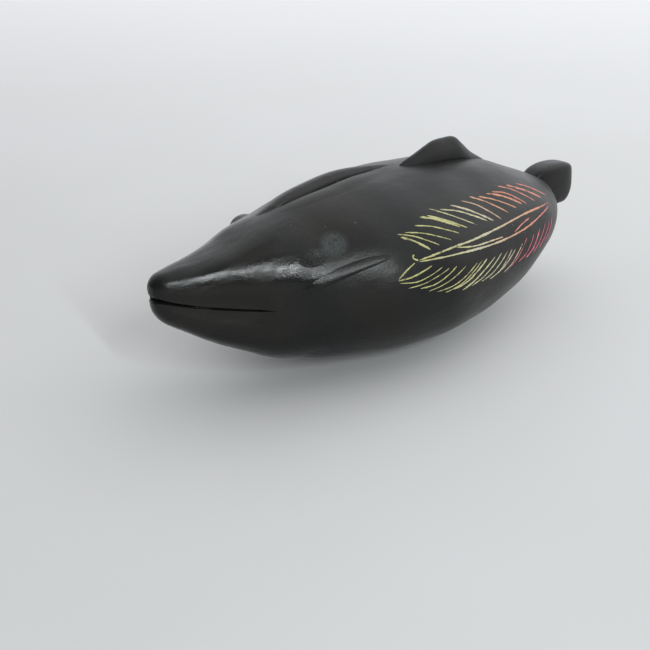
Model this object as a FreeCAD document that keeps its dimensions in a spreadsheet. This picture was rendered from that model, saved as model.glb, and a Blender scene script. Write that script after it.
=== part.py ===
"""Fish-shaped clay vessel, hand built and burnished black, with scratched and pigment-filled flanks.

Units are millimetres. The frame has +Z up, the beak towards -X and the tail towards +X.
The origin lies on the table, under the middle of the overall length.
Places along the fish are first counted from the tip of the beak ("along") and then moved to the frame.
"""
import FreeCAD, Part
import math
import os
import Sketcher

doc = FreeCAD.newDocument("fish_guiro")
sheet = doc.addObject("Spreadsheet::Sheet", "dimensions")

DIMENSIONS = {
    "origin_along": 43.9,       # from the beak's tip to the frame's origin
    "wall": 3.0,                # clay wall of the hollow body
    "seam_rear": 13.8,          # height of the widest line, at the tail
    "seam_rise": 6.5,           # how much higher that line starts, at the beak
    "seam_reach": 12.5,         # length over which it comes down
    "seam_bend": 1.15,          # how late the fall starts: 1 falls fastest at the tip
    "mouth_depth": 15.8,        # beak tip to the corner of the mouth
    "mouth_front": 1.3,         # mouth slit, height at the beak's tip
    "mouth_corner": 0.5,        # mouth slit, height at its corner
    "slot_middle": 33.2,        # middle of the slot in the back
    "slot_length": 21.0,
    "slot_width": 1.8,
    "back_peak_along": 39.0,    # highest place of the back along the slot
    "back_peak": 28.5,
    "back_fall": 0.0068,        # how fast the back falls away from there, per mm squared
    "lip_radius": 1.2,          # clay coil along each side of the slot
    "lip_overrun": 1.5,         # how far each coil runs past the slot's ends
    "lip_sink": 0.9,            # how far its ends go down into the back
    "lip_gap": 0.25,            # half the space between the two coils at their ends
    "fin_front": 46.8,          # dorsal fin, foot
    "fin_rear": 66.0,
    "fin_top_front": 55.4,      # dorsal fin, crest
    "fin_top_rear": 60.4,
    "fin_crest": 30.5,          # height of the crest above the table
    "fin_foot": 23.0,           # height where its hidden foot starts
    "fin_foot_thick": 4.0,
    "fin_crest_thick": 1.7,
    "fin_round": 0.7,
    "tail_root": 77.0,          # tail fin, hidden root
    "tail_rise": 83.4,          # where its upper edge turns
    "tail_tip": 88.0,
    "tail_top": 19.4,
    "tail_tip_top": 17.8,
    "tail_heel": 85.8,          # lower rear corner
    "tail_heel_height": 12.4,
    "tail_root_top": 17.6,
    "tail_root_bottom": 12.6,
    "tail_thick": 4.0,
    "tail_round": 1.2,
    "eye_along": 21.3,
    "eye_side": 8.7,
    "eye_height": 22.4,
    "eye_long": 2.5,            # half axes of the eye pellets
    "eye_short": 1.9,
    "pectoral_along": 26.6,
    "pectoral_side": 13.3,
    "pectoral_height": 19.9,
    "pectoral_long": 8.2,       # half axes of the pinched side ridges
    "pectoral_short": 1.3,
    "pectoral_yaw": 20.5,       # degrees, follows the flank
    "pectoral_pitch": 9.0,      # degrees, rises to the rear
    "flank_reach": 25.0,        # more than half the breadth of the body
    "stroke_half": 0.22,        # scratched strokes, half width
    "stroke_end": 0.4,          # a stroke's width at its ends, as a share of its full width
    "stroke_deep": 0.35,        # depth of their grooves
    "stroke_shoulder": 0.07,    # depth of their widest line, so that every groove opens at its top
    "stroke_proud": 0.25,       # how far the pigment stands proud at each bend
    "stroke_step": 4.2,         # longest straight run of a stroke
}

# Stations of the body: along, half width, top, keel. The keel's zero is pressed flat on the table.
STATIONS = (
    (0.0, 0.7, 22.0, 18.7),
    (0.5, 1.6, 22.9, 17.3),
    (1.9, 2.6, 23.6, 15.6),
    (6.0, 4.1, 23.8, 12.5),
    (11.4, 6.2, 24.4, 9.0),
    (16.5, 8.9, 25.8, 5.8),
    (24.0, 13.0, 27.4, 2.8),
    (34.0, 17.8, 28.4, 0.7),
    (43.0, 19.2, 28.4, -0.4),
    (53.0, 17.7, 27.6, -0.5),
    (62.4, 15.3, 25.9, 1.2),
    (69.5, 12.7, 22.9, 4.9),
    (75.5, 8.9, 20.0, 8.2),
    (79.3, 5.1, 17.9, 10.9),
    (80.9, 1.8, 16.2, 13.0),
)
STATION_NAMES = ("along", "half_width", "top", "keel")
SECTION_POINTS = 24
CAVITY_STATIONS = (4, 12)
# The block above the seam reaches from before the beak to past the tail, and clears the fin.
BLOCK_FRONT, BLOCK_REAR, BLOCK_TOP, BLOCK_STEP = -4, 96, 60, 4

# A few scratched strokes of each row, drawn by hand; the others lie evenly between them.
# Each is inner along, inner height, outer along, outer height.
UPPER_BARBS = (
    (38.6, 20.9, 34.2, 23.4),
    (43.0, 20.8, 36.4, 24.6),
    (49.0, 21.0, 42.2, 24.9),
    (55.0, 20.3, 49.1, 24.8),
    (63.8, 20.0, 58.4, 24.4),
    (71.6, 18.6, 66.2, 22.3),
)
LOWER_BARBS = (
    (38.4, 18.0, 32.0, 17.0),
    (43.2, 17.2, 35.6, 15.3),
    (47.4, 16.8, 38.4, 14.1),
    (52.9, 16.1, 44.4, 13.0),
    (60.5, 15.5, 54.9, 12.8),
    (70.5, 15.9, 65.4, 14.2),
)
UPPER_COUNT = 17
LOWER_COUNT = 20
# The leaf's shaft: two long strokes that open from the head end, and the fork in front of them.
SHAFT = ((36.6, 19.2, 72.6, 17.6), (37.6, 18.6, 72.4, 16.8), (35.8, 18.9, 32.4, 17.9))
SHAFT_PIGMENTS = ("yellow", "red", "yellow")
# Pigments along each row, from the head: the share of the row where each one ends.
UPPER_PIGMENTS = ((0.45, "yellow"), (1.0, "red"))
LOWER_PIGMENTS = ((0.4, "yellow"), (0.7, "white"), (1.0, "red"))


def fill_sheet():
    """Write every driving dimension and every station in the sheet, one aliased cell each."""
    rows = dict(DIMENSIONS)
    for number, station in enumerate(STATIONS):
        for name, value in zip(STATION_NAMES, station):
            rows[f"station_{number}_{name}"] = value
    for line, (alias, value) in enumerate(rows.items(), start=1):
        sheet.set(f"A{line}", alias)
        sheet.set(f"B{line}", str(value))
        sheet.setAlias(f"B{line}", alias)
    doc.recompute()


def size(alias):
    """Return the sheet's value for an alias."""
    return float(getattr(sheet, alias))


def frame_x(along):
    """Turn a distance from the beak's tip into the frame's X."""
    return along - size("origin_along")


def bind(obj, **expressions):
    """Bind the object's properties to expressions; in a name, two underscores stand for a dot."""
    for name, expression in expressions.items():
        words = expression.replace("$", "dimensions.")
        obj.setExpression(name.replace("__", "."), words)


def boolean(kind, name, base, tool):
    """Add a Cut or Common of two objects to the document."""
    result = doc.addObject(f"Part::{kind}", name)
    result.Base = base
    result.Tool = tool
    return result


def worked_out(name, shape):
    """Add a shape that no feature makes to the document."""
    feature = doc.addObject("Part::Feature", name)
    feature.Shape = shape
    feature.Placement = FreeCAD.Placement()
    return feature


def seam_height(along):
    """Height of the widest line: it starts high at the beak and levels out by the shoulders."""
    fall = math.exp(-(along / size("seam_reach")) ** size("seam_bend"))
    return size("seam_rear") + size("seam_rise") * fall


def section(number, inset):
    """Closed curve round one station: two half ellipses that share the widest line."""
    along, half_width, top, keel = (size(f"station_{number}_{name}") for name in STATION_NAMES)
    seam = seam_height(along)
    points = []
    for step in range(SECTION_POINTS):
        turn = 2 * math.pi * step / SECTION_POINTS
        reach = top - seam if math.sin(turn) > 0 else seam - keel
        points.append(FreeCAD.Vector(
            frame_x(along),
            (half_width - inset) * math.cos(turn),
            seam + (reach - inset) * math.sin(turn)))
    curve = Part.BSplineCurve()
    curve.interpolate(Points=points, PeriodicFlag=True)
    return Part.Wire([curve.toShape()])


def lofted_form(name, inset, first, last):
    """Smooth solid through the stations, each drawn in by the inset."""
    wires = [section(number, inset) for number in range(first, last + 1)]
    return worked_out(name, Part.makeLoft(wires, True, False))


def above_seam():
    """Solid above the widest line, bounded below by that line carried straight across."""
    side = size("flank_reach")
    points = [FreeCAD.Vector(frame_x(BLOCK_FRONT), -side, seam_height(0.0))]
    for along in range(0, BLOCK_REAR + 1, BLOCK_STEP):
        points.append(FreeCAD.Vector(frame_x(along), -side, seam_height(along)))
    curve = Part.BSplineCurve()
    curve.interpolate(points)
    corners = [points[-1], FreeCAD.Vector(frame_x(BLOCK_REAR), -side, BLOCK_TOP),
               FreeCAD.Vector(frame_x(BLOCK_FRONT), -side, BLOCK_TOP), points[0]]
    edges = [curve.toShape()]
    edges += [Part.LineSegment(one, two).toShape() for one, two in zip(corners, corners[1:])]
    face = Part.Face(Part.Wire(edges))
    return worked_out("above_seam", face.extrude(FreeCAD.Vector(0, 2 * side, 0)))


def mouth_gap():
    """Wedge between the jaws: higher at the beak's tip, closing towards the corner of the mouth."""
    side = size("flank_reach")
    depth = size("mouth_depth")
    edge = []
    for along, height in ((-1.0, size("mouth_front")), (depth, size("mouth_corner"))):
        middle = seam_height(max(along, 0.0))
        for half in (height / 2, -height / 2):
            edge.append(FreeCAD.Vector(frame_x(along), -side, middle + half))
    middle_along = depth / 2
    middle_half = (size("mouth_front") + size("mouth_corner")) / 4
    upper = Part.Arc(edge[0], FreeCAD.Vector(
        frame_x(middle_along), -side, seam_height(middle_along) + middle_half), edge[2])
    lower = Part.Arc(edge[3], FreeCAD.Vector(
        frame_x(middle_along), -side, seam_height(middle_along) - middle_half), edge[1])
    edges = [upper.toShape(), Part.LineSegment(edge[2], edge[3]).toShape(),
             lower.toShape(), Part.LineSegment(edge[1], edge[0]).toShape()]
    face = Part.Face(Part.Wire(edges))
    return worked_out("mouth_gap", face.extrude(FreeCAD.Vector(0, 2 * side, 0)))


def slot_cutter():
    """Lens-shaped slot, where two upright cylinders overlap."""
    discs = []
    radius = "($slot_length ^ 2 + $slot_width ^ 2) / (4 * $slot_width)"
    for side, sign in (("left", "-"), ("right", "")):
        disc = doc.addObject("Part::Cylinder", f"slot_{side}_edge")
        bind(disc, Radius=radius, Height="$fin_crest",
             Placement__Base__x="$slot_middle - $origin_along",
             Placement__Base__y=f"{sign}({radius} - $slot_width / 2)",
             Placement__Base__z="$seam_rear + $wall")
        discs.append(disc)
    return boolean("Common", "slot_cutter", *discs)


def body_shells(outer, seam_side, mouth, slot):
    """Two hollow halves of the body, parted at the widest line, with the mouth and the slot cut."""
    inner = lofted_form("cavity", size("wall"), *CAVITY_STATIONS)
    walls = boolean("Cut", "walls", outer, inner)
    opened = boolean("Cut", "walls_with_mouth", walls, mouth)
    back = boolean("Common", "back_walls", opened, seam_side)
    slotted = boolean("Cut", "back_walls_with_slot", back, slot)
    belly = boolean("Cut", "belly_walls", opened, seam_side)
    return slotted, belly


def attached(name, outer, raw):
    """A piece luted on the body: what stands proud of the body's surface."""
    return boolean("Cut", name, raw, outer)


def slot_lip(name, sign, outer, slot):
    """Clay coil along one side of the slot; its ends sink into the back."""
    half = size("slot_length") / 2 + size("lip_overrun")
    middle = size("slot_middle")
    radius = size("lip_radius")
    points = []
    for share in (-1.0, -0.6, 0.0, 0.6, 1.0):
        along = middle + share * half
        swell = 1 - share ** 2
        back = size("back_peak") - size("back_fall") * (along - size("back_peak_along")) ** 2
        points.append(FreeCAD.Vector(
            frame_x(along),
            sign * (size("lip_gap") + swell * (size("slot_width") + radius) / 2),
            back - size("lip_sink") * (1 - swell)))
    curve = Part.BSplineCurve()
    curve.interpolate(points)
    start = curve.value(curve.FirstParameter)
    ring = Part.Circle(start, curve.tangent(curve.FirstParameter)[0], radius)
    coil = Part.Wire([curve.toShape()]).makePipeShell([Part.Wire([ring.toShape()])], True, False)
    raw = worked_out(f"{name}_coil", coil)
    side = doc.addObject("Part::Box", f"{name}_side")
    bind(side, Length="$slot_length * 2", Width="$flank_reach", Height="$fin_crest",
         Placement__Base__x="$slot_middle - $origin_along - $slot_length",
         Placement__Base__y="0" if sign > 0 else "-$flank_reach",
         Placement__Base__z="$seam_rear")
    halved = boolean("Common", f"{name}_half", raw, side)
    clear = boolean("Cut", f"{name}_clear", halved, slot)
    return attached(name, outer, clear)


def dorsal_fin(outer):
    """Pinched fin on the back: wide at the foot, narrow at the crest."""
    wedge = doc.addObject("Part::Wedge", "dorsal_wedge")
    bind(wedge, Xmin="$fin_front - $origin_along", Xmax="$fin_rear - $origin_along",
         X2min="$fin_top_front - $origin_along", X2max="$fin_top_rear - $origin_along",
         Ymin="0", Ymax="$fin_crest - $fin_foot",
         Zmin="-$fin_foot_thick / 2", Zmax="$fin_foot_thick / 2",
         Z2min="-$fin_crest_thick / 2", Z2max="$fin_crest_thick / 2")
    wedge.Placement = FreeCAD.Placement(
        FreeCAD.Vector(0, 0, size("fin_foot")), FreeCAD.Rotation(FreeCAD.Vector(1, 0, 0), 90))
    bind(wedge, Placement__Base__z="$fin_foot")
    doc.recompute()
    rounded = doc.addObject("Part::Fillet", "dorsal_round")
    rounded.Base = wedge
    foot = size("fin_foot")
    radius = size("fin_round")
    rounded.Edges = [
        (number, radius, radius) for number, edge in enumerate(wedge.Shape.Edges, start=1)
        if max(vertex.Point.z for vertex in edge.Vertexes) > foot + 1]
    return attached("dorsal_fin", outer, rounded)


def tail_fin(outer):
    """Flat upturned tail lobe, padded from its outline and rounded all round."""
    body = doc.addObject("PartDesign::Body", "tail_lobe")
    plane = next(item for item in body.Origin.OriginFeatures if item.Role == "XZ_Plane")
    sketch = body.newObject("Sketcher::SketchObject", "tail_outline")
    sketch.AttachmentSupport = [(plane, "")]
    sketch.MapMode = "FlatFace"
    corners = (("tail_root", "tail_root_top"), ("tail_rise", "tail_top"), ("tail_tip", "tail_tip_top"),
               ("tail_heel", "tail_heel_height"), ("tail_root", "tail_root_bottom"))
    places = [FreeCAD.Vector(frame_x(size(along)), size(height), 0) for along, height in corners]
    for number, place in enumerate(places):
        following = places[(number + 1) % len(places)]
        sketch.addGeometry(Part.LineSegment(place, following), False)
    for number in range(len(places)):
        sketch.addConstraint(Sketcher.Constraint("Coincident", number, 2, (number + 1) % len(places), 1))
    for number, (place, (along, height)) in enumerate(zip(places, corners)):
        for kind, value, words in (("DistanceX", place.x, f"dimensions.{along} - dimensions.origin_along"),
                                   ("DistanceY", place.y, f"dimensions.{height}")):
            row = sketch.addConstraint(Sketcher.Constraint(kind, -1, 1, number, 1, value))
            sketch.setExpression(f"Constraints[{row}]", words)
    pad = body.newObject("PartDesign::Pad", "tail_pad")
    pad.Profile = sketch
    pad.Midplane = True
    bind(pad, Length="$tail_thick")
    doc.recompute()
    rounded = body.newObject("PartDesign::Fillet", "tail_round")
    outline = [f"Edge{number}" for number, edge in enumerate(pad.Shape.Edges, start=1)
               if abs(edge.Vertexes[0].Point.y - edge.Vertexes[-1].Point.y) < 0.01]
    rounded.Base = (pad, outline)
    bind(rounded, Radius="$tail_round")
    body.Tip = rounded
    return attached("tail_fin", outer, body)


def eye(name, sign, outer):
    """Clay pellet pressed on the side of the head."""
    pellet = doc.addObject("Part::Ellipsoid", f"{name}_pellet")
    bind(pellet, Radius1="$eye_short", Radius2="$eye_long", Radius3="$eye_short",
         Placement__Base__x="$eye_along - $origin_along",
         Placement__Base__y=f"{sign} * $eye_side",
         Placement__Base__z="$eye_height")
    return attached(name, outer, pellet)


def pectoral_fin(name, sign, outer):
    """Long low ridge behind the mouth, pinched along the flank."""
    ridge = doc.addObject("Part::Ellipsoid", f"{name}_ridge")
    turn = FreeCAD.Rotation(sign * size("pectoral_yaw"), -size("pectoral_pitch"), 0)
    ridge.Placement = FreeCAD.Placement(FreeCAD.Vector(0, 0, 0), turn)
    bind(ridge, Radius1="$pectoral_short", Radius2="$pectoral_long", Radius3="$pectoral_short",
         Placement__Base__x="$pectoral_along - $origin_along",
         Placement__Base__y=f"{sign} * $pectoral_side",
         Placement__Base__z="$pectoral_height")
    return attached(name, outer, ridge)


def spread(keys, count):
    """Strokes spaced evenly along a row, between the ones drawn by hand."""
    strokes = []
    for number in range(count):
        place = number / (count - 1) * (len(keys) - 1)
        before = min(int(place), len(keys) - 2)
        share = place - before
        strokes.append([one + share * (two - one) for one, two in zip(keys[before], keys[before + 1])])
    return strokes


def on_flank(skin, along, height, sign):
    """Point of the body's surface at this place on a flank, and its outward normal."""
    nearest = min(range(1, len(STATIONS)), key=lambda number: abs(size(f"station_{number}_along") - along))
    half_width, top, keel = (size(f"station_{nearest}_{name}") for name in STATION_NAMES[1:])
    seam = seam_height(along)
    reach = top - seam if height > seam else seam - keel
    share = min(abs(height - seam) / reach, 0.98)
    guess = FreeCAD.Vector(frame_x(along), sign * half_width * math.sqrt(1 - share ** 2), height)
    for _ in range(4):
        u, v = skin.parameter(guess)
        point = skin.value(u, v)
        guess = FreeCAD.Vector(frame_x(along), point.y, height)
    normal = skin.normal(u, v)
    return point, normal if normal.y * sign > 0 else -normal


def stroke_bar(skin, stroke, sign):
    """Fill of one stroke: a slim four-sided bar that follows the flank, part of it proud of the skin."""
    inner_along, inner_height, outer_along, outer_height = stroke
    run = FreeCAD.Vector(outer_along - inner_along, 0, outer_height - inner_height)
    steps = max(2, math.ceil(run.Length / size("stroke_step")))
    rings = []
    for step in range(steps + 1):
        share = step / steps
        point, normal = on_flank(skin, inner_along + share * run.x, inner_height + share * run.z, sign)
        narrowing = size("stroke_end") if step in (0, steps) else 1.0
        across = run.cross(normal).normalize() * size("stroke_half") * narrowing
        widest = point - normal * size("stroke_shoulder")
        corners = [widest + across, point + normal * size("stroke_proud"),
                   widest - across, point - normal * size("stroke_deep")]
        rings.append(Part.makePolygon(corners + corners[:1]))
    return Part.makeLoft(rings, True, True)


def pigment_of(share, pigments):
    """Name of the pigment at this share of a row."""
    return next(name for limit, name in pigments if share <= limit)


def stroke_fills(side, sign, skin):
    """All the strokes of one flank: one group of separate fills for each pigment."""
    bars = {"yellow": [], "white": [], "red": []}
    for keys, count, pigments in ((UPPER_BARBS, UPPER_COUNT, UPPER_PIGMENTS),
                                  (LOWER_BARBS, LOWER_COUNT, LOWER_PIGMENTS)):
        for number, stroke in enumerate(spread(keys, count)):
            bars[pigment_of(number / (count - 1), pigments)].append(stroke_bar(skin, stroke, sign))
    for stroke, pigment in zip(SHAFT, SHAFT_PIGMENTS):
        bars[pigment].append(stroke_bar(skin, stroke, sign))
    return [worked_out(f"{side}_{pigment}_strokes", Part.makeCompound(group))
            for pigment, group in bars.items()]


def grooved(name, walls, fills):
    """Half of the body with every stroke's groove cut in it."""
    tools = doc.addObject("Part::Compound", f"{name}_grooves")
    tools.Links = fills
    return boolean("Cut", name, walls, tools)


def build():
    """Make every sub-part and return them in the order of their making."""
    fill_sheet()
    lofted = lofted_form("lofted_body", 0.0, 0, len(STATIONS) - 1)
    table = doc.addObject("Part::Box", "table")
    bind(table, Length="$origin_along * 4", Width="$flank_reach * 4", Height="$wall",
         Placement__Base__x="-$origin_along * 2", Placement__Base__y="-$flank_reach * 2",
         Placement__Base__z="-$wall")
    outer = boolean("Cut", "outer_form", lofted, table)
    slot = slot_cutter()
    back, belly = body_shells(outer, above_seam(), mouth_gap(), slot)

    skin = max(lofted.Shape.Faces, key=lambda face: face.Area).Surface
    fills = stroke_fills("left", -1, skin) + stroke_fills("right", 1, skin)
    parts = [grooved("back_shell", back, fills), grooved("belly_shell", belly, fills)]
    parts += [slot_lip("left_slot_lip", -1, outer, slot), slot_lip("right_slot_lip", 1, outer, slot)]
    parts += [dorsal_fin(outer), tail_fin(outer)]
    for side, sign in (("left", -1), ("right", 1)):
        parts.append(eye(f"{side}_eye", sign, outer))
        parts.append(pectoral_fin(f"{side}_pectoral_fin", sign, outer))
    return parts + fills


def check_and_export(parts):
    """Stop on any failed object or bad shape; otherwise write one file for each sub-part."""
    doc.recompute()
    for obj in doc.Objects:
        if "Invalid" in obj.State or "Error" in obj.State:
            raise RuntimeError(f"{obj.Name} failed: {obj.State}")
    os.makedirs("parts", exist_ok=True)
    for part in parts:
        part.Label = part.Name
        shape = part.Shape
        if shape.isNull() or not shape.isValid():
            raise RuntimeError(f"{part.Label} has no valid shape")
    for part in parts:
        shape = part.Shape
        box = shape.BoundBox
        print(f"{part.Label}: {len(shape.Solids)} solids, {shape.Volume:.1f} mm3, "
              f"x {box.XMin:.2f}..{box.XMax:.2f} y {box.YMin:.2f}..{box.YMax:.2f} "
              f"z {box.ZMin:.2f}..{box.ZMax:.2f}")
        shape.exportStep(f"parts/{part.Label}.step")


check_and_export(build())
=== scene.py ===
# %% [markdown]
# # A fish-shaped clay guiro
# A small hollow vessel, pinched and coiled by hand, smoke-fired black and burnished with a stone.
# The design fixes its size and its separate pieces. Here each piece gets its hand-made surface,
# worked out as a function of two parameters, and its finish.

# %% Load the fixed frame
import math

import bmesh
import bpy
import numpy as np
from mathutils import Matrix, Vector


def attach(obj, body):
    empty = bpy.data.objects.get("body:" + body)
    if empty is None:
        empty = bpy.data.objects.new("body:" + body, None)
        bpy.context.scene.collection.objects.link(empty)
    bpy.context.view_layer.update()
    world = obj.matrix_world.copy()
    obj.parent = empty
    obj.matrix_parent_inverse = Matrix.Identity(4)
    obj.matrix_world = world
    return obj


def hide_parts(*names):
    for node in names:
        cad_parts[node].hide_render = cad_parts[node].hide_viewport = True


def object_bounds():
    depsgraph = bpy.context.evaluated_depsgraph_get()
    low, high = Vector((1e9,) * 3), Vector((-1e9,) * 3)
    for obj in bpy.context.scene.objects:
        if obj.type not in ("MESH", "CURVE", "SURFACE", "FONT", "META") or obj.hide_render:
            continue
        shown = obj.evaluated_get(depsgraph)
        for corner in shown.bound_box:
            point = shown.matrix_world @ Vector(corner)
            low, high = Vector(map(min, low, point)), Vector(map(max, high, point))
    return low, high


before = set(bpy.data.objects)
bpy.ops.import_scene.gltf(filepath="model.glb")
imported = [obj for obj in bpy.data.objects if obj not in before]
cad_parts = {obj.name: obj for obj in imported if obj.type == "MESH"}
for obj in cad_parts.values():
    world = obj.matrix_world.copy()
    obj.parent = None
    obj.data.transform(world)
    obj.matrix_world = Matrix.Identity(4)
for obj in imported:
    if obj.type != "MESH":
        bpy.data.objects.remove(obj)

CAD_BOX = [[float(value) for value in corner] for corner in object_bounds()]
MM = 0.001
BEAK_X = CAD_BOX[0][0]
print("CAD box in mm:", [[round(value / MM, 2) for value in corner] for corner in CAD_BOX])

# %% [markdown]
# ## Camera and light
# The view is from the fish's left, a little ahead of it and above, with the slight tilt of a camera
# held by hand. A narrow window at the fish's left draws the streak along the snout's shoulder, and the
# bright far side of the room rims the lip, the fin and the tail. A broad light past the tail throws
# a soft shadow under the head.

# %% Place the camera
AZIMUTH, ELEVATION, ROLL = (math.radians(angle) for angle in (-34.97, 25.97, -4.94))
CAMERA_PLACE = Vector((BEAK_X - 59.7 * MM, -128.2 * MM, 81.6 * MM))
LENS, SENSOR = 58.9, 36.0


def place_camera():
    """Camera that looks along the azimuth and elevation, rolled about its own line of sight."""
    forward = Vector((-math.sin(AZIMUTH) * math.cos(ELEVATION),
                      math.cos(AZIMUTH) * math.cos(ELEVATION), -math.sin(ELEVATION)))
    right = forward.cross(Vector((0, 0, 1))).normalized()
    up = right.cross(forward)
    turned = right * math.cos(ROLL) + up * math.sin(ROLL)
    upright = up * math.cos(ROLL) - right * math.sin(ROLL)
    data = bpy.data.cameras.new("camera")
    data.lens, data.sensor_width = LENS, SENSOR
    data.clip_start = 0.01
    camera = bpy.data.objects.new("camera", data)
    axes = Matrix((turned, upright, -forward)).transposed()
    camera.matrix_world = Matrix.Translation(CAMERA_PLACE) @ axes.to_4x4()
    bpy.context.collection.objects.link(camera)
    bpy.context.scene.camera = camera
    return camera


camera = place_camera()
print("camera at", [round(value / MM, 1) for value in camera.location], "mm")

# %% Set the lights
ROOM_COLOR = (0.90, 0.92, 0.95)
FAR_SIDE, NEAR_SIDE = 1.3, 0.17
FAR_DIRECTION = (0.85, 0.45, 0.27)
DIM_UNTIL, BRIGHT_FROM = -0.6, 0.9  # how far a direction has to point to the far side
LIGHTS = (  # name, place, target, size, power, colour
    ("window", (-0.12, -0.52, 0.29), (-0.03, 0, 0.02), (0.022, 0.20), 2.2, (0.93, 0.98, 1.0)),
    ("softbox", (1.0, -0.45, 1.1), (0, 0, 0), (2.0, 2.0), 10.0, (1, 0.99, 0.97)))


def area_light(name, place, target, size, power, color):
    """Soft rectangular light at a place, aimed at a target, sizes in metres."""
    data = bpy.data.lights.new(name, "AREA")
    data.shape = "RECTANGLE"
    data.size, data.size_y = size
    data.energy = power
    data.color = color
    lamp = bpy.data.objects.new(name, data)
    lamp.location = place
    lamp.rotation_euler = (Vector(target) - Vector(place)).to_track_quat("-Z", "Y").to_euler()
    bpy.context.collection.objects.link(lamp)


def paint_world(world):
    """Room that is brightest low down on the far side and dim on the near side."""
    world.use_nodes = True
    tree = world.node_tree
    place = tree.nodes.new("ShaderNodeTexCoord")
    facing = tree.nodes.new("ShaderNodeVectorMath")
    facing.operation = "DOT_PRODUCT"
    facing.inputs[1].default_value = FAR_DIRECTION
    ramp = tree.nodes.new("ShaderNodeMapRange")
    ramp.interpolation_type = "SMOOTHSTEP"
    for index, number in enumerate((DIM_UNTIL, BRIGHT_FROM, NEAR_SIDE, FAR_SIDE), start=1):
        ramp.inputs[index].default_value = number
    background = tree.nodes["Background"]
    background.inputs["Color"].default_value = (*ROOM_COLOR, 1)
    tree.links.new(place.outputs["Generated"], facing.inputs[0])
    tree.links.new(facing.outputs["Value"], ramp.inputs[0])
    tree.links.new(ramp.outputs[0], background.inputs["Strength"])


def light_room():
    """Pale room, a narrow tall window on the near side and a broad soft light past the tail."""
    world = bpy.data.worlds.new("room")
    paint_world(world)
    bpy.context.scene.world = world
    for light in LIGHTS:
        area_light(*light)


light_room()
bpy.context.scene.view_settings.view_transform = "Standard"

# %% [markdown]
# ## The body's form
# The potter's form is a fat spindle with a beak. Its stations give the half width, the top and the
# keel along its length; a smooth curve through them closes round at both ends. Round each station the
# section is two half superellipses that share the widest line, and that line comes down from the beak.

# %% Profile of the body, in millimetres from the beak's tip
STATIONS = np.array([  # along, half width, top, keel
    (0.0, 0.0, 21.6, 19.1),
    (0.25, 1.2, 22.6, 17.8),
    (1.4, 2.3, 23.5, 16.0),
    (4.0, 3.4, 23.8, 13.9),
    (8.0, 4.8, 23.9, 11.0),
    (12.0, 6.5, 24.5, 8.5),
    (16.5, 8.9, 25.7, 5.8),
    (24.0, 13.0, 27.3, 2.8),
    (34.0, 17.8, 28.4, 0.7),
    (43.0, 19.2, 28.4, -0.4),
    (53.0, 17.7, 27.6, -0.5),
    (62.4, 15.3, 25.9, 1.2),
    (69.5, 12.7, 22.9, 4.9),
    (75.5, 8.9, 20.0, 8.2),
    (79.3, 5.1, 17.9, 10.9),
    (80.7, 2.0, 16.1, 13.0),
    (81.0, 0.0, 13.9, 13.7),
])
SEAM_REAR, SEAM_RISE, SEAM_REACH, SEAM_BEND = 13.8, 6.5, 12.5, 1.15
SHOULDER, SHOULDER_ALONG, SHOULDER_REACH = 1.5, 10.0, 8.5
WAVE_DEPTH, WAVES_FULL_FROM = 0.10, 8.0  # low waves, at full depth where the body is this wide
WALL = 3.0
HALF_TURN = math.pi


def smooth_through(points, count):
    """Cubic Hermite curve through the points, with slopes from their neighbours."""
    steps = np.sqrt(np.linalg.norm(np.diff(points, axis=0), axis=1))
    knots = np.concatenate([[0.0], np.cumsum(steps)])
    slopes = np.gradient(points, knots, axis=0)
    fine = np.linspace(0, knots[-1], count)
    left = np.clip(np.searchsorted(knots, fine, side="right") - 1, 0, len(knots) - 2)
    width = (knots[left + 1] - knots[left])[:, None]
    share = (fine - knots[left])[:, None] / width
    rest = 1 - share
    return ((1 + 2 * share) * rest ** 2 * points[left] + share * rest ** 2 * width * slopes[left]
            + share ** 2 * (3 - 2 * share) * points[left + 1]
            - share ** 2 * rest * width * slopes[left + 1])


PROFILE = smooth_through(STATIONS, 1601)
PROFILE[:, 0] = np.maximum.accumulate(PROFILE[:, 0])


def seam_height(along):
    """Height of the widest line: it falls from the beak and levels out by the shoulders."""
    return SEAM_REAR + SEAM_RISE * np.exp(-(np.maximum(along, 0) / SEAM_REACH) ** SEAM_BEND)


def swell(along, centre, spread):
    """Bell-shaped weight: 1 at the centre, falling to nothing over the spread."""
    return np.exp(-((along - centre) / spread) ** 2)


def signed_power(value, power):
    """Power of a number's size that keeps its sign, for superellipses."""
    return np.sign(value) * np.abs(value) ** power


def body_surface(row, angle, inset=0.0):
    """Points of the body: row is a profile row (along, half width, top, keel), and angle goes round from
    the right flank over the back. The section is a superellipse, boxier along the beak for its
    shoulders, with low waves where the stone has pressed the clay. The cavity, drawn in by the inset,
    runs out to a point at both ends."""
    along, half, top, keel = (row[..., column] for column in range(4))
    seam = seam_height(along)
    power = 2 / (2.0 + SHOULDER * swell(along, SHOULDER_ALONG, SHOULDER_REACH))
    cosine, sine = np.cos(angle), np.sin(angle)
    reach = np.where(sine > 0, top - seam, seam - keel)
    waves = WAVE_DEPTH * np.sin(0.42 * along + 3.0 * angle) * np.sin(0.23 * along - 5.0 * angle + 0.7)
    waves = waves * np.clip(half / WAVES_FULL_FROM, 0, 1) * (inset == 0)
    width = np.maximum(half - inset + waves, 0)
    reach = np.maximum(reach - inset + waves, 0)
    if inset:
        reach = np.minimum(reach, 3 * width)
    across = width * signed_power(cosine, power)
    height = seam + reach * signed_power(sine, power)
    return np.stack(np.broadcast_arrays(along, across, np.maximum(height, inset)), axis=-1)


def rows_at(along):
    """Profile rows at given distances from the beak's tip."""
    return np.stack([np.interp(along, PROFILE[:, 0], PROFILE[:, column]) for column in range(4)], axis=-1)


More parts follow.
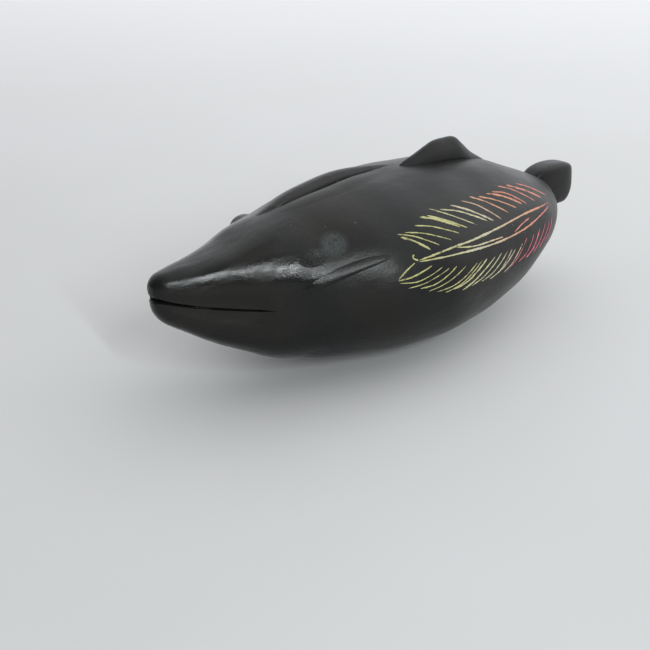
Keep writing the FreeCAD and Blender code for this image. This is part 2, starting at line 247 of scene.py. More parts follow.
def angle_at(along, height, side):
    """Angle round the section at a height on one flank; side is -1 for the left and +1 for the right."""
    row = rows_at(along)
    seam = seam_height(along)
    power = 2 / (2.0 + SHOULDER * swell(along, SHOULDER_ALONG, SHOULDER_REACH))
    reach = np.where(height > seam, row[..., 2] - seam, seam - row[..., 3])
    rise = np.clip((height - seam) / reach, -1, 1)
    angle = np.arcsin(signed_power(rise, 1 / power))
    return HALF_TURN - angle if side < 0 else angle


def body_skin(along, angle, proud):
    """Points that stand proud of the body's surface, measured along its outward normal."""
    step = 0.02
    point = body_surface(rows_at(along), angle)
    run = body_surface(rows_at(along + step), angle) - body_surface(rows_at(along - step), angle)
    turn = body_surface(rows_at(along), angle + step) - body_surface(rows_at(along), angle - step)
    normal = np.cross(turn, run)
    normal = -normal / np.maximum(np.linalg.norm(normal, axis=-1, keepdims=True), 1e-9)
    outward = np.stack([np.zeros_like(angle), np.cos(angle), np.sin(angle)], axis=-1)
    normal = normal * np.where((normal * outward).sum(-1, keepdims=True) < 0, -1, 1)
    return point + normal * proud[..., None]


print("profile samples:", len(PROFILE), "widest:", round(float(PROFILE[:, 1].max() * 2), 1), "mm")

# %% Turn grids of points into pieces
PIECES = []
SHARP_EDGE, SOFT_EDGE = 55.0, 80.0  # degrees from which an edge is kept sharp


def grid_quads(rows, columns, first=0):
    """Corner numbers of the quads between neighbouring rows and columns of one grid."""
    corner = first + np.arange(rows * columns).reshape(rows, columns)
    quads = np.stack([corner[:-1, :-1], corner[:-1, 1:], corner[1:, 1:], corner[1:, :-1]], axis=-1)
    return quads.reshape(-1, 4)


def to_frame(points):
    """Move points from millimetres behind the beak's tip to the shared frame in metres."""
    return points.reshape(-1, 3) * MM + np.array([BEAK_X, 0, 0])


def make_piece(name, points, quads, replaced, sharp=SHARP_EDGE, tints=None):
    """Mesh piece from points and quads; welded, facing outwards, smooth but for real edges."""
    mesh = bpy.data.meshes.new(name)
    mesh.from_pydata(to_frame(points).tolist(), [], quads.tolist())
    mesh.validate()
    if tints is not None:
        mesh.attributes.new("tint", "FLOAT", "POINT").data.foreach_set("value", tints)
    work = bmesh.new()
    work.from_mesh(mesh)
    bmesh.ops.remove_doubles(work, verts=work.verts, dist=0.002 * MM)
    bmesh.ops.dissolve_degenerate(work, edges=work.edges, dist=0.0005 * MM)
    bmesh.ops.recalc_face_normals(work, faces=work.faces)
    work.to_mesh(mesh)
    open_edges = sum(1 for edge in work.edges if not edge.is_manifold)
    work.free()
    mesh.shade_smooth()
    mesh.set_sharp_from_angle(angle=math.radians(sharp))
    piece = bpy.data.objects.new(name, mesh)
    bpy.context.collection.objects.link(piece)
    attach(piece, "root")
    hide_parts(*replaced)
    PIECES.append(piece)
    print(name, len(mesh.polygons), "faces,", open_edges, "open edges")


# %% [markdown]
# ## Back and belly
# The hollow body is two clay shells luted at the widest line. At the front they part and become the
# jaws, so the mouth is simply the gap between them. The slot in the back is a real opening: the two
# quarters of the back stop at its edges, and a wall of clay joins the outer and the inner skin there.

# %% Make the two shells
MOUTH_CORNER, MOUTH_FRONT, MOUTH_BACK = 15.8, 0.55, 0.34
TIP_FLARE, FLARE_REACH = 0.45, 0.5  # the mouth gapes at the very tip
LIP_ROLL, LIP_TUCK, TUCKED_FROM = 0.6, 0.12, 0.4
THROAT_FRONT, THROAT_REAR = 4.2, 7.0  # between them the jaws part on the inside as well
SLOT_MIDDLE, SLOT_LENGTH, SLOT_WIDTH = 33.4, 19.0, 1.8
SLOT_SHIFT = 1.2  # the slot wanders this far to the right of the middle
EDGE_DECAY, SHIFT_DECAY = 9.0, 5.0  # how fast the slot's pull fades down the flank
ROW_STEP = 5  # divides the number of profile steps, so that the last row is the tail's end


def mouth_half(along):
    """Half the height of the mouth: highest at the beak's tip, closing at the corner."""
    share = np.clip(1 - along / MOUTH_CORNER, 0, 1)
    opening = (MOUTH_BACK + (MOUTH_FRONT - MOUTH_BACK) * share) * np.minimum(share * 8, 1)
    return opening / 2 + TIP_FLARE * np.exp(-np.maximum(along, 0) / FLARE_REACH)


def slot_half(along):
    """Half the width of the slot: a slim lens."""
    share = np.clip((along - SLOT_MIDDLE) / (SLOT_LENGTH / 2), -1, 1)
    return SLOT_WIDTH / 2 * (1 - share ** 2) ** 0.7


def part_jaws(points, angle, side, inside):
    """Lift or lower a shell's edge to open the mouth, and roll the lip inwards; the beak's tip stays
    closed on the inside, so that the mouth is a groove there."""
    along = points[..., 0]
    from_seam = np.minimum(np.abs(angle % HALF_TURN), HALF_TURN - np.abs(angle % HALF_TURN))
    distance = from_seam * np.maximum(rows_at(along)[..., 1], 1.0)
    weight = np.exp(-(distance / LIP_ROLL) ** 2)
    opening = mouth_half(along)
    if inside:
        opening = opening * np.clip((along - THROAT_FRONT) / (THROAT_REAR - THROAT_FRONT), 0, 1)
    points[..., 2] += side * opening * weight
    points[..., 1] *= 1 - LIP_TUCK * weight * np.clip(opening / TUCKED_FROM, 0, 1)
    return points


def quarter_shell(start, finish, columns, side, slot_side):
    """Outer and inner skin of a quarter of the body, from the seam at start to the crown at finish."""
    rows = PROFILE[::ROW_STEP]
    angle = np.linspace(start, finish, columns)
    skins = []
    for inset in (0.0, WALL):
        skin = body_surface(rows[:, None, :], np.broadcast_to(angle, (len(rows), columns)), inset)
        skin = part_jaws(skin, np.broadcast_to(angle, skin.shape[:2]), side, inset > 0)
        if slot_side:
            edge = np.exp(-(np.abs(angle - finish) * EDGE_DECAY))
            crown = np.exp(-(np.abs(angle - finish) * SHIFT_DECAY))
            skin[..., 1] += slot_side * slot_half(rows[:, 0])[:, None] * edge
            room = np.clip((rows[:, 1] - inset) / WALL, 0, 1)
            shift = SLOT_SHIFT * swell(rows[:, 0], SLOT_MIDDLE, SLOT_LENGTH) * room
            skin[..., 1] += shift[:, None] * crown
        skins.append(skin)
    return skins


def shell_quads(rows, columns, crown_rows):
    """Quads of a quarter: both skins, the seam's wall, and the crown's wall on the given rows."""
    outer = np.arange(rows * columns).reshape(rows, columns)
    inner = outer + rows * columns
    quads = [grid_quads(rows, columns), grid_quads(rows, columns, rows * columns)]
    for column, kept in ((0, np.arange(rows - 1)), (columns - 1, crown_rows)):
        quads.append(np.stack([outer[kept, column], outer[kept + 1, column],
                               inner[kept + 1, column], inner[kept, column]], axis=-1))
    return np.concatenate(quads)


def make_shell(name, quarters, side, slotted, replaced):
    """Shell from its two quarters; the crown is open where the slot is."""
    columns = 84
    rows = len(PROFILE[::ROW_STEP])
    open_crown = np.array([], dtype=int)
    if slotted:
        wide = slot_half(PROFILE[::ROW_STEP][:, 0])
        open_crown = np.flatnonzero((wide[:-1] > 0) | (wide[1:] > 0))
    points, quads = [], []
    for number, (start, finish, slot_side) in enumerate(quarters):
        skins = quarter_shell(start, finish, columns, side, slot_side if slotted else 0)
        points += [skin.reshape(-1, 3) for skin in skins]
        quads.append(shell_quads(rows, columns, open_crown) + number * 2 * rows * columns)
    make_piece(name, np.concatenate(points), np.concatenate(quads), replaced)


make_shell("back_clay", ((0, HALF_TURN / 2, 1), (HALF_TURN, HALF_TURN / 2, -1)),
           1, True, ("back_shell",))
make_shell("belly_clay", ((0, -HALF_TURN / 2, 0), (HALF_TURN, HALF_TURN * 1.5, 0)),
           -1, False, ("belly_shell",))

# %% [markdown]
# ## Pressed-on clay
# Lips, ridges and eyes are soft mounds smeared on to the leather-hard body. One function makes them
# all: a strip along the surface whose height swells from nothing at its foot, so that it blends in.

# %% Mounds on the surface
MOUND_SUNK, MOUND_BURIED = 0.06, 0.7  # depth of the foot's edge and of the underside
LIP_AHEAD, LIP_LENGTH, LIP_OUT = 13.2, 26.5, 0.9
LIPS = {-1: (2.0, 0.2), 1: (3.1, 0.95)}  # half breadth, height
LIP_CREST, LIP_OUTSIDE, LIP_INSIDE = 0.35, 1.45, 0.65
PECTORAL_FRONT, PECTORAL_LENGTH = 17.5, 16.0
PECTORAL_LOW, PECTORAL_RISE = 17.9, 3.35
PECTORAL_HALF, PECTORAL_PROUD = 1.4, 0.24
FLAP_CREST, FLAP_BELOW, FLAP_ABOVE = 0.45, 0.4, 1.4


def mound(name, along, angle, breadth, height, profile, replaced):
    """Closed mound: centre line (along, angle), half breadth and height along it, profile across it.
    Points stand proud of the body by height times the profile; the underside is buried."""
    across = np.linspace(-1, 1, 41)
    row = rows_at(along)
    rise = row[:, 2] - seam_height(along)
    radius = np.sqrt((row[:, 1] * np.sin(angle)) ** 2 + (rise * np.cos(angle)) ** 2)
    turned = angle[:, None] + across * (breadth / radius)[:, None]
    placed = np.broadcast_to(along[:, None], turned.shape)
    top = body_skin(placed, turned, height[:, None] * profile(across) - MOUND_SUNK)
    under = body_skin(placed, turned, np.full(turned.shape, -MOUND_BURIED))[:, ::-1]
    points = np.concatenate([top, under, top[:, :1]], axis=1)
    make_piece(name, points, grid_quads(*points.shape[:2]), replaced, SOFT_EDGE)


def ends(share, power=0.5):
    """Taper that is 1 in the middle and 0 at both ends of a strip."""
    return np.maximum(1 - (2 * share - 1) ** 2, 0) ** power


def slot_lip(side, word):
    """Rolled lip beside the slot: smeared out softly to the flank, steep where it drops into the slot.
    The right lip stands up as a crest; the left one is only a low fold."""
    share = np.linspace(0, 1, 150)
    half_breadth, proud = LIPS[side]
    along = SLOT_MIDDLE - LIP_AHEAD + LIP_LENGTH * share
    breadth = half_breadth * ends(share, 0.4)
    offset = slot_half(along) + breadth * LIP_OUT
    angle = HALF_TURN / 2 - (side * offset + SLOT_SHIFT) / rows_at(along)[:, 1]

    def fold(across):
        lean = across - LIP_CREST * side
        outside = np.maximum(1 - (lean / LIP_OUTSIDE) ** 2, 0) ** 2
        inside = np.maximum(1 - (lean / LIP_INSIDE) ** 2, 0)
        return np.where(lean * side > 0, inside, outside)

    mound(f"{word}_lip_clay", along, angle, breadth, proud * ends(share, 0.8), fold,
          (f"{word}_slot_lip",))


def pectoral_ridge(side, word):
    """Low side fin: a long pinch that melts into the flank above and ends in a steep edge below."""
    share = np.linspace(0, 1, 140)
    along = PECTORAL_FRONT + PECTORAL_LENGTH * share
    line = PECTORAL_LOW + PECTORAL_RISE * np.sin(share * 0.5 * math.pi) ** 1.1
    angle = angle_at(along, line, side)
    lower = 1 if side < 0 else -1

    def flap(across):
        down = across * lower - FLAP_CREST
        return np.where(down > 0, np.maximum(1 - (down / FLAP_BELOW) ** 2, 0) ** 0.8,
                        np.maximum(1 - (down / FLAP_ABOVE) ** 2, 0) ** 2.2)

    mound(f"{word}_pectoral_clay", along, angle, PECTORAL_HALF * ends(share, 0.5),
          PECTORAL_PROUD * ends(share, 1.0), flap, (f"{word}_pectoral_fin",))


EYE_LENGTH, EYE_HALF, EYE_RISE = 4.6, 1.8, 0.6
EYES = {-1: (19.8, 22.2, 0.45), 1: (18.4, 24.0, 1.0)}  # front, height, how far it stands proud


def eye_pellet(side, word):
    """Small gritty pellet pressed on the side of the head; the right one sits higher and prouder."""
    front, height, proud = EYES[side]
    share = 0.5 - 0.5 * np.cos(np.linspace(0, math.pi, 64))
    along = front + EYE_LENGTH * share
    angle = angle_at(along, height + EYE_RISE * share, side)

    def dome(across):
        return np.maximum(1 - across ** 2, 0) ** 1.9

    mound(f"{word}_eye_clay", along, angle, EYE_HALF * ends(share), proud * ends(share, 0.9),
          dome, (f"{word}_eye",))


for hand, hand_word in ((-1, "left"), (1, "right")):
    slot_lip(hand, hand_word)
    pectoral_ridge(hand, hand_word)
    eye_pellet(hand, hand_word)

# %% [markdown]
# ## Fin and tail
# The back fin is pinched up between two fingers: its silhouette is a line of heights, its thickness
# falls from the foot to the crest. The tail is a flat lobe turned upwards, thick where it leaves the
# body. Both are closed sections carried along the fish.

# %% Make the dorsal fin
FIN_LINE = np.array([  # along, height of the crest, half thickness of the foot
    (46.4, 27.8, 0.3), (48.4, 28.6, 1.2), (51.0, 29.3, 2.0), (53.2, 30.0, 2.4), (55.0, 30.5, 2.5),
    (57.2, 30.5, 2.5), (59.4, 30.2, 2.5), (60.9, 28.9, 2.3), (62.8, 27.0, 1.8), (65.6, 25.0, 1.0),
    (67.0, 24.0, 0.3),
])
FIN_ROOT = 1.6  # how deep the fin's foot is buried


def carry_sections(name, along, across, height, replaced):
    """Closed piece from a section at each place along, gathered to a point at both ends."""
    points = np.stack([np.broadcast_to(along, across.shape), across, height], axis=-1)
    points[0] = points[0].mean(axis=0)
    points[-1] = points[-1].mean(axis=0)
    make_piece(name, points, grid_quads(*points.shape[:2]), replaced, SOFT_EDGE)


def dorsal_fin():
    """Pinched fin: for each place along, a section with a wide foot and a rounded crest."""
    line = smooth_through(FIN_LINE, 110)
    along, crest, foot = (line[:, column][:, None] for column in range(3))
    turn = np.linspace(0, 2 * math.pi, 73)
    base = rows_at(line[:, 0])[:, 2][:, None] - FIN_ROOT
    rise = 0.5 + 0.5 * np.sin(turn)
    taper = 1 - 0.62 * rise ** 0.8
    across = foot * taper * signed_power(np.cos(turn), 0.7)
    height = base + (np.maximum(crest, base + 0.2) - base) * rise ** 0.75
    carry_sections("dorsal_fin_clay", along, across, height, ("dorsal_fin",))


dorsal_fin()

# %% Make the tail
TAIL_LINE = np.array([  # along, top, bottom, half thickness
    (76.5, 18.2, 12.2, 1.6), (79.2, 19.4, 12.1, 2.3), (81.4, 19.75, 12.0, 2.5), (83.6, 19.7, 11.9, 2.5),
    (85.6, 19.4, 12.0, 2.3), (87.0, 18.9, 13.2, 1.9), (87.8, 18.2, 14.8, 1.3), (88.05, 17.2, 16.0, 0.4),
])


def tail_fin():
    """Tail lobe: closed oval sections, tall and narrow, gathered to a rounded tip."""
    line = smooth_through(TAIL_LINE, 90)
    along, top, bottom, half = (line[:, column][:, None] for column in range(4))
    turn = np.linspace(0, 2 * math.pi, 65)
    middle, reach = (top + bottom) / 2, (top - bottom) / 2
    across = half * signed_power(np.cos(turn), 0.4)
    height = middle + reach * signed_power(np.sin(turn), 0.4)
    carry_sections("tail_fin_clay", along, across, height, ("tail_fin",))


tail_fin()

# %% [markdown]
# ## Scratched leaf
# The rows of barbs are scratched with a point through the burnish and filled with chalky pigment.
# Each stroke is a thin ribbon that follows the body, crumbled along its edges. A few strokes of each row
# are listed, and the rest lie evenly between them with a little unsteadiness.

# %% Lay out the strokes
UPPER_BARBS = np.array([  # inner along, inner height, outer along, outer height
    (38.8, 20.4, 34.9, 23.2), (41.6, 20.7, 35.0, 23.4), (45.4, 21.2, 38.0, 23.8), (46.0, 21.9, 40.4, 24.5),
    (49.4, 21.1, 42.1, 24.9), (52.8, 20.9, 44.6, 24.7), (55.0, 20.4, 48.4, 24.7), (58.5, 20.2, 52.0, 24.2),
    (62.0, 20.2, 54.9, 23.8), (64.3, 19.9, 57.2, 23.8), (68.4, 19.0, 60.2, 23.7), (72.6, 18.3, 64.4, 22.9)])
LOWER_BARBS = np.array([
    (37.9, 18.5, 32.0, 17.5), (40.9, 17.8, 32.8, 16.6), (43.0, 17.2, 35.9, 15.4), (47.3, 16.7, 38.0, 14.3),
    (49.2, 16.4, 40.6, 14.0), (52.4, 16.1, 43.8, 13.3), (55.7, 15.5, 48.0, 12.9), (57.6, 15.4, 51.6, 12.8),
    (60.6, 15.9, 54.6, 12.5), (64.2, 15.7, 59.0, 12.4), (68.4, 15.7, 62.9, 12.4), (71.0, 15.6, 66.8, 12.6)])
SHAFT = (  # points along, height; half width; tint at the start and at the end
    ([(35.4, 19.7), (42.6, 20.0), (48.2, 19.75), (54.2, 19.5), (62.0, 19.1), (72.8, 17.4)], 0.17, 0.0, 2.3),
    ([(35.6, 19.6), (39.3, 19.3), (44.5, 18.8), (50.4, 18.0), (56.7, 17.4), (62.4, 17.2), (67.2, 17.3),
      (72.6, 17.2)], 0.15, 0.0, 2.9),
    ([(43.0, 19.9), (47.0, 18.95), (50.6, 18.5), (54.7, 18.0)], 0.12, 0.2, 1.6),
    ([(57.4, 17.7), (60.0, 18.1), (63.0, 18.2)], 0.12, 2.2, 2.6),
    ([(35.6, 19.6), (33.7, 18.7), (32.2, 17.7)], 0.10, 0.1, 0.0),
    ([(36.2, 19.7), (35.5, 20.2), (35.9, 20.7)], 0.13, 0.1, 0.0))
UPPER_COUNT, LOWER_COUNT = 17, 20
UPPER_TINTS = ((0.0, 0.15, 0.4, 0.6, 0.8, 1.0), (0.1, 0.0, 0.5, 1.7, 2.1, 2.2))
LOWER_TINTS = ((0.0, 0.3, 0.5, 0.68, 0.74, 1.0), (0.0, 0.2, 0.8, 1.1, 3.0, 2.9))
PROUD, BURIED = 0.05, 0.22
RIBBON_STEP, DRIFT_STEP = 0.13, 5
RIBBON_SPOTS = np.array([-1.0, -0.8, -0.3, 0.3, 0.8, 1.0])  # places across a ribbon
RIBBON_CROWN = np.array([-1.2, 0.7, 1.0, 1.0, 0.7, -1.2])  # how proud it stands at each
END_WANDER = 0.22
PIGMENT_RANGES = (("yellow", -9.0, 0.62), ("white", 0.62, 1.35), ("red", 1.35, 9.0))
rng = np.random.default_rng(7)


def ribbon(path, half, tint_start, tint_end, side):
    """Ribbon along a path of (along, height) points: its half width wavers and its edges crumble.
    Returns its points, as closed rings, and the pigment tint of each ring."""
    length = float(np.linalg.norm(np.diff(path, axis=0), axis=1).sum())
    count = max(int(length / RIBBON_STEP), 12)
    line = smooth_through(path, count)
    share = np.linspace(0, 1, count)
    taper = np.minimum(np.minimum(share * 9, (1 - share) * 6), 1) ** 0.6
    knots = np.arange(0, count + DRIFT_STEP + 1, DRIFT_STEP)
    drift = np.interp(share * count, knots, rng.uniform(0.65, 1.3, len(knots)))
    left = half * taper * drift * rng.uniform(0.7, 1.25, count)
    right = half * taper * drift * rng.uniform(0.7, 1.25, count)
    run = np.gradient(line, axis=0)
    run = run / np.linalg.norm(run, axis=1, keepdims=True)
    across = np.stack([-run[:, 1], run[:, 0]], axis=1)
    widths = np.where(RIBBON_SPOTS < 0, left[:, None], right[:, None]) * RIBBON_SPOTS
    flat = line[:, None, :] + across[:, None, :] * widths[..., None]
    crown = PROUD * RIBBON_CROWN * np.minimum(taper * 1.5, 1)[:, None]
    crown = crown + rng.uniform(-0.012, 0.012, crown.shape) - 0.03 * (taper < 0.5)[:, None]
    angle = angle_at(flat[..., 0], flat[..., 1], side)
    top = body_skin(flat[..., 0], angle, crown)
    under = body_skin(flat[..., 0], angle, np.full(angle.shape, -BURIED))[:, ::-1]
    ring = np.concatenate([top, under, top[:, :1]], axis=1)
    ring[0] = ring[0].mean(axis=0)
    ring[-1] = ring[-1].mean(axis=0)
    return ring, tint_start + (tint_end - tint_start) * share


def spread(keys, count):
    """Barbs spaced evenly through a row, with a little unsteadiness in each end."""
    place = np.linspace(0, len(keys) - 1, count)
    barbs = np.stack([np.interp(place, np.arange(len(keys)), column) for column in keys.T], axis=1)
    return barbs + rng.uniform(-END_WANDER, END_WANDER, barbs.shape)


def barb_path(barb, bow):
    """A stroke drawn inwards with a slight bow."""
    inner, outer = barb[:2], barb[2:]
    run = inner - outer
    across = np.array([-run[1], run[0]]) / np.linalg.norm(run)
    return np.array([outer, outer + run * 0.35 + across * bow,
                     outer + run * 0.7 + across * bow * 0.7, inner])


def flank_strokes(side):
    """All ribbons of one flank, as a list of rings with their tints."""
    strokes = []
    for keys, count, (places, tints), bow in ((UPPER_BARBS, UPPER_COUNT, UPPER_TINTS, 0.35),
                                              (LOWER_BARBS, LOWER_COUNT, LOWER_TINTS, -0.45)):
        for number, barb in enumerate(spread(keys, count)):
            tint = float(np.interp(number / (count - 1), places, tints))
            half = rng.uniform(0.07, 0.15)
            strokes.append(ribbon(barb_path(barb, bow * rng.uniform(0.5, 1.4)), half,
                                  tint, tint + rng.uniform(-0.15, 0.3), side))
    for path, half, tint_start, tint_end in SHAFT:
        strokes.append(ribbon(np.array(path), half, tint_start, tint_end, side))
    return strokes


def make_strokes(side, word):
    """One piece for each pigment of a flank; every point carries its tint."""
    strokes = flank_strokes(side)
    for pigment, low, high in PIGMENT_RANGES:
        chosen = [(ring, tint) for ring, tint in strokes if low <= tint.mean() < high]
        points, quads, tints, first = [], [], [], 0
        for ring, tint in chosen:
            rows, columns = ring.shape[:2]
            points.append(ring.reshape(-1, 3))
            quads.append(grid_quads(rows, columns, first))
            tints.append(np.repeat(tint, columns))
            first += rows * columns
        make_piece(f"{word}_{pigment}_scratches", np.concatenate(points), np.concatenate(quads),
                   (f"{word}_{pigment}_strokes",), tints=np.concatenate(tints))


make_strokes(-1, "left")
make_strokes(1, "right")

# %% [markdown]
# ## Burnished black clay
# The black comes from smoke, so it varies: warmer where the fire was leaner, colder where it was
# starved. The stone leaves long flat facets along the fish, smoother than the clay between them, and
# fine scratches across the sheen. Grit stands out as pin-prick pits. All of it is read from Object
# coordinates, in metres, because every piece shares one frame and the marks run across the joins.

# %% Shared node helpers
def new_group(name, inputs, outputs):
    """Shader node group with named sockets; returns it with its end nodes."""
    group = bpy.data.node_groups.new(name, "ShaderNodeTree")
    for label, kind in inputs:
        group.interface.new_socket(label, in_out="INPUT", socket_type=kind)
    for label, kind in outputs:
        group.interface.new_socket(label, in_out="OUTPUT", socket_type=kind)
    return group, group.nodes.new("NodeGroupInput"), group.nodes.new("NodeGroupOutput")


def add_node(tree, kind, settings=None, **values):
    """Node with its settings and its input values."""
    node = tree.nodes.new(kind)
    for key, value in (settings or {}).items():
        setattr(node, key, value)
    for key, value in values.items():
        node.inputs[key].default_value = value
    return node


def noise(tree, vector, scale, detail=3.0, roughness=0.5):
    """Noise texture on a vector; returns its factor output."""
    node = add_node(tree, "ShaderNodeTexNoise", Scale=scale, Detail=detail, Roughness=roughness)
    tree.links.new(vector, node.inputs["Vector"])
    return node.outputs["Fac"]


def remap(tree, value, low, high, to_low=0.0, to_high=1.0, smooth=True):
    """Map a value's range to another, clamped and eased."""
    node = tree.nodes.new("ShaderNodeMapRange")
    node.interpolation_type = "SMOOTHSTEP" if smooth else "LINEAR"
    for index, number in enumerate((low, high, to_low, to_high), start=1):
        node.inputs[index].default_value = number
    tree.links.new(value, node.inputs[0])
    return node.outputs[0]


def arithmetic(tree, operation, first, second):
    """Math node on two sockets or numbers."""
    node = tree.nodes.new("ShaderNodeMath")
    node.operation = operation
    for index, item in enumerate((first, second)):
        if isinstance(item, (int, float)):
            node.inputs[index].default_value = item
        else:
            tree.links.new(item, node.inputs[index])
    return node.outputs[0]


def stretched(tree, vector, scale, turn):
    """Coordinates squeezed or drawn out along each axis, for marks that run one way."""
    node = tree.nodes.new("ShaderNodeMapping")
    node.inputs["Scale"].default_value = scale
    node.inputs["Rotation"].default_value = turn
    tree.links.new(vector, node.inputs["Vector"])
    return node.outputs["Vector"]


def mix_color(tree, factor, first, second):
    """Mix two colours by a factor; each may be a socket or a tuple."""
    node = tree.nodes.new("ShaderNodeMix")
    node.data_type = "RGBA"
    tree.links.new(factor, node.inputs[0])
    for index, item in ((6, first), (7, second)):
        if isinstance(item, tuple):
            node.inputs[index].default_value = (*item, 1)
        else:
            tree.links.new(item, node.inputs[index])
    return node.outputs[2]


print("node helpers ready")

# %% The clay's marks, as one group
POLISH_END = BEAK_X + 25 * MM  # the head is burnished the most
PAINTED_REFLECTION_PLACE = (BEAK_X + 25.8 * MM, -10.2 * MM, 23.9 * MM)  # pale round patch behind the left eye: a painted reflection


def clay_marks():
    """Group that turns a position into smoke colour, polish (0 dull, 1 polished), relief, grit specks and a
    painted reflection: a pale round patch behind the left eye.
    """
    group, start, end = new_group(
        "clay_marks",
        [("Position", "NodeSocketVector")],
        [("Smoke", "NodeSocketFloat"), ("Polish", "NodeSocketFloat"), ("Relief", "NodeSocketFloat"),
         ("Specks", "NodeSocketFloat"), ("PaintedReflection", "NodeSocketFloat")])
    position = start.outputs["Position"]
    smoke = noise(group, position, 55.0, 4.0, 0.6)
    facets = noise(group, stretched(group, position, (90.0, 420.0, 420.0), (0, 0.1, 0.25)), 1.0, 2.0, 0.5)
    hairs = noise(group, stretched(group, position, (260.0, 3800.0, 3800.0), (0, 0.15, 0.3)), 1.0, 2.0, 0.6)
    grain = noise(group, position, 2600.0, 4.0, 0.65)
    dents = noise(group, position, 160.0, 2.0, 0.5)
    pits = add_node(group, "ShaderNodeTexVoronoi", {"feature": "F1"}, Scale=620.0)
    group.links.new(position, pits.inputs["Vector"])
    pit_mask = remap(group, pits.outputs["Distance"], 0.05, 0.16, 1.0, 0.0)
    sparse = remap(group, noise(group, position, 240.0, 1.0), 0.56, 0.68)
    specks = arithmetic(group, "MULTIPLY", pit_mask, sparse)
    polish = arithmetic(group, "ADD", arithmetic(group, "MULTIPLY", remap(group, facets, 0.36, 0.6), 0.75),
                        arithmetic(group, "MULTIPLY", remap(group, grain, 0.35, 0.7), 0.25))
    split = group.nodes.new("ShaderNodeSeparateXYZ")
    group.links.new(position, split.inputs[0])
    worked = remap(group, split.outputs["X"], POLISH_END - 6 * MM, POLISH_END, 1.0, 0.15)
    polish = arithmetic(group, "MULTIPLY", polish, worked)
    relief = arithmetic(group, "ADD", arithmetic(group, "MULTIPLY", dents, 1.1),
                        arithmetic(group, "MULTIPLY", facets, 0.55))
    relief = arithmetic(group, "ADD", relief, arithmetic(group, "MULTIPLY", hairs, 0.055))
    relief = arithmetic(group, "ADD", relief, arithmetic(group, "MULTIPLY", grain, 0.20))
    relief = arithmetic(group, "SUBTRACT", relief, arithmetic(group, "MULTIPLY", specks, 0.16))
    reach = add_node(group, "ShaderNodeVectorMath", {"operation": "DISTANCE"})
    reach.inputs[1].default_value = PAINTED_REFLECTION_PLACE
    group.links.new(position, reach.inputs[0])
    # painted reflection: a round spot behind the left eye, full within 1.2 mm and gone by 2.6 mm, broken by
    # grain
    reflection_patch_mask = remap(group, reach.outputs["Value"], 1.2 * MM, 2.6 * MM, 1.0, 0.0)
    painted_reflection = arithmetic(group, "MULTIPLY", reflection_patch_mask, remap(group, grain, 0.35, 0.6, 0.35, 1.0))
    for label, value in (("Smoke", smoke), ("Polish", polish), ("Relief", relief), ("Specks", specks),
                         ("PaintedReflection", painted_reflection)):
        group.links.new(value, end.inputs[label])
    return group


MARKS = clay_marks()
print("clay group outputs:", [item.name for item in MARKS.interface.items_tree if item.in_out == "OUTPUT"])


# %% The clay material
def burnished_clay(name, warm, cold, dull, bright, relief_mm):
    """Smoke-fired clay: colour between cold and warm, roughness between dull and bright."""
    material = bpy.data.materials.new(name)
    material.use_nodes = True
    tree = material.node_tree
    shader = tree.nodes["Principled BSDF"]
    place = tree.nodes.new("ShaderNodeTexCoord")
    marks = tree.nodes.new("ShaderNodeGroup")
    marks.node_tree = MARKS
    tree.links.new(place.outputs["Object"], marks.inputs["Position"])
    base = mix_color(tree, remap(tree, marks.outputs["Smoke"], 0.35, 0.65), cold, warm)
    pale = remap(tree, marks.outputs["Specks"], 0.2, 0.9, 0.0, 0.5)
    speckled = mix_color(tree, pale, base, (0.10, 0.10, 0.09))
    # painted reflection: the clay colour is lightened in a round patch behind the left eye
    speckled = mix_color(tree, marks.outputs["PaintedReflection"], speckled, (0.045, 0.050, 0.050))
    tree.links.new(speckled, shader.inputs["Base Color"])
    tree.links.new(remap(tree, marks.outputs["Polish"], 0.0, 1.0, dull, bright, False),
                   shader.inputs["Roughness"])
    shader.inputs["Specular IOR Level"].default_value = 0.24
    shader.inputs["Sheen Weight"].default_value = 0.05
    shader.inputs["Sheen Roughness"].default_value = 0.3
    bump = tree.nodes.new("ShaderNodeBump")
    bump.inputs["Strength"].default_value = 1.0
    bump.inputs["Distance"].default_value = relief_mm * MM
    tree.links.new(marks.outputs["Relief"], bump.inputs["Height"])
    tree.links.new(bump.outputs["Normal"], shader.inputs["Normal"])
    return material


CLAY = burnished_clay("burnished_clay", (0.0115, 0.0112, 0.0088), (0.0060, 0.0063, 0.0066),
                      0.38, 0.13, 0.16)
GRITTY_CLAY = burnished_clay("gritty_clay", (0.020, 0.020, 0.018), (0.010, 0.010, 0.010),
                             0.22, 0.12, 1.3)
print("clay material:", CLAY.name)

# %% [markdown]
# ## Chalky pigment
# The fill is dry earth pigment rubbed into the scratches. Its colour is kept on each point as a tint:
# 0 yellow, 1 chalk white, 2 orange and 3 pink. It is matt and crumbly, and soot shows through it.

# %% The pigment material
TINT_LAST = 3.0
TINTS = ((0.0, (0.41, 0.40, 0.16)), (0.33, (0.44, 0.41, 0.29)), (0.66, (0.52, 0.24, 0.15)),
         (1.0, (0.56, 0.14, 0.20)))


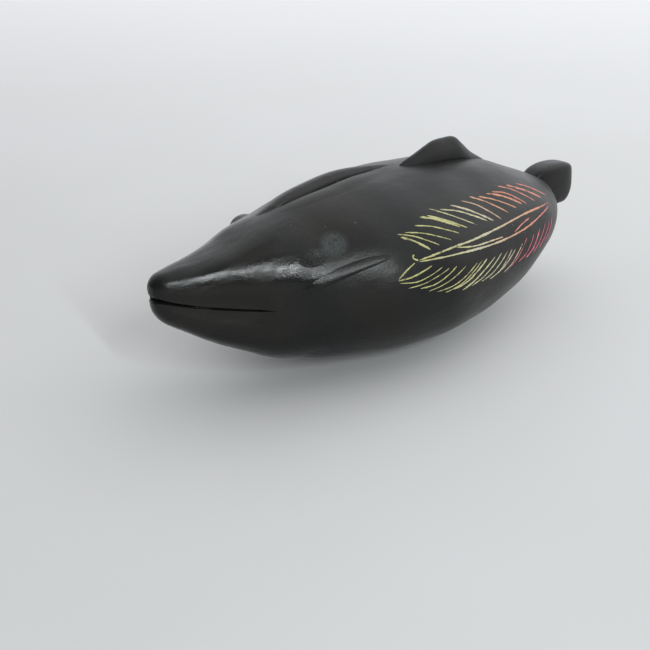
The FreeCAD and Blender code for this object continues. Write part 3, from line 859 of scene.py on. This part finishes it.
def chalky_pigment(name):
    """Matt pigment whose hue follows the tint attribute, broken by soot and grain."""
    material = bpy.data.materials.new(name)
    material.use_nodes = True
    tree = material.node_tree
    shader = tree.nodes["Principled BSDF"]
    tint = add_node(tree, "ShaderNodeAttribute", {"attribute_name": "tint", "attribute_type": "GEOMETRY"})
    place = tree.nodes.new("ShaderNodeTexCoord").outputs["Object"]
    ramp = tree.nodes.new("ShaderNodeValToRGB")
    ramp.color_ramp.elements[0].color = (*TINTS[0][1], 1)
    ramp.color_ramp.elements[-1].color = (*TINTS[-1][1], 1)
    for spot, color in TINTS[1:-1]:
        ramp.color_ramp.elements.new(spot).color = (*color, 1)
    tree.links.new(arithmetic(tree, "DIVIDE", tint.outputs["Fac"], TINT_LAST), ramp.inputs["Fac"])
    grain = noise(tree, place, 2400.0, 4.0, 0.7)
    soot = noise(tree, place, 900.0, 3.0, 0.6)
    sooty = mix_color(tree, remap(tree, soot, 0.52, 0.72, 0.0, 0.75), ramp.outputs["Color"],
                      (0.05, 0.045, 0.04))
    tree.links.new(sooty, shader.inputs["Base Color"])
    tree.links.new(remap(tree, grain, 0.3, 0.7, 0.75, 0.95), shader.inputs["Roughness"])
    bump = tree.nodes.new("ShaderNodeBump")
    bump.inputs["Distance"].default_value = 0.08 * MM
    tree.links.new(grain, bump.inputs["Height"])
    tree.links.new(bump.outputs["Normal"], shader.inputs["Normal"])
    return material


PIGMENT = chalky_pigment("chalky_pigment")
for item in PIECES:
    if "scratches" in item.name:
        item.data.materials.append(PIGMENT)
    elif "eye" in item.name:
        item.data.materials.append(GRITTY_CLAY)
    else:
        item.data.materials.append(CLAY)
print("pieces with a material:", sum(1 for item in PIECES if item.data.materials))

# %% [markdown]
# ## Table
# A pale matt sheet under the fish, a little mottled and big enough that its edge is never seen. Its colour
# is painted darker near the camera and lighter towards the far side, as painted light falloff.

# %% Lay the table
def pale_table():
    """Large flat sheet at the table's height, with a faint mottle and painted light falloff: darker near
    the camera, lighter towards the far side.
    """
    mesh = bpy.data.meshes.new("table")
    reach = 3.0
    mesh.from_pydata([(-reach, -reach, 0), (reach, -reach, 0), (reach, reach, 0), (-reach, reach, 0)],
                     [], [(0, 1, 2, 3)])
    table = bpy.data.objects.new("table", mesh)
    table.location.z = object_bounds()[0][2]
    bpy.context.collection.objects.link(table)
    material = bpy.data.materials.new("table_paper_painted_light")
    material.use_nodes = True
    tree = material.node_tree
    place = tree.nodes.new("ShaderNodeTexCoord").outputs["Object"]
    mottle = noise(tree, place, 9.0, 3.0)
    # painted shade: the near paper gets a darker colour than the far paper
    shaded_near_paper = mix_color(tree, remap(tree, mottle, 0.3, 0.7), (0.51, 0.51, 0.50), (0.54, 0.54, 0.54))
    distance = add_node(tree, "ShaderNodeVectorMath", {"operation": "DOT_PRODUCT"})
    distance.inputs[1].default_value = FAR_DIRECTION
    tree.links.new(place, distance.inputs[0])
    # painted light falloff: the colour brightens from the near paper to the far side
    color = mix_color(tree, remap(tree, distance.outputs["Value"], -0.1, 0.4), shaded_near_paper, (0.90, 0.90, 0.91))
    tree.links.new(color, tree.nodes["Principled BSDF"].inputs["Base Color"])
    tree.nodes["Principled BSDF"].inputs["Roughness"].default_value = 0.85
    mesh.materials.append(material)


pale_table()
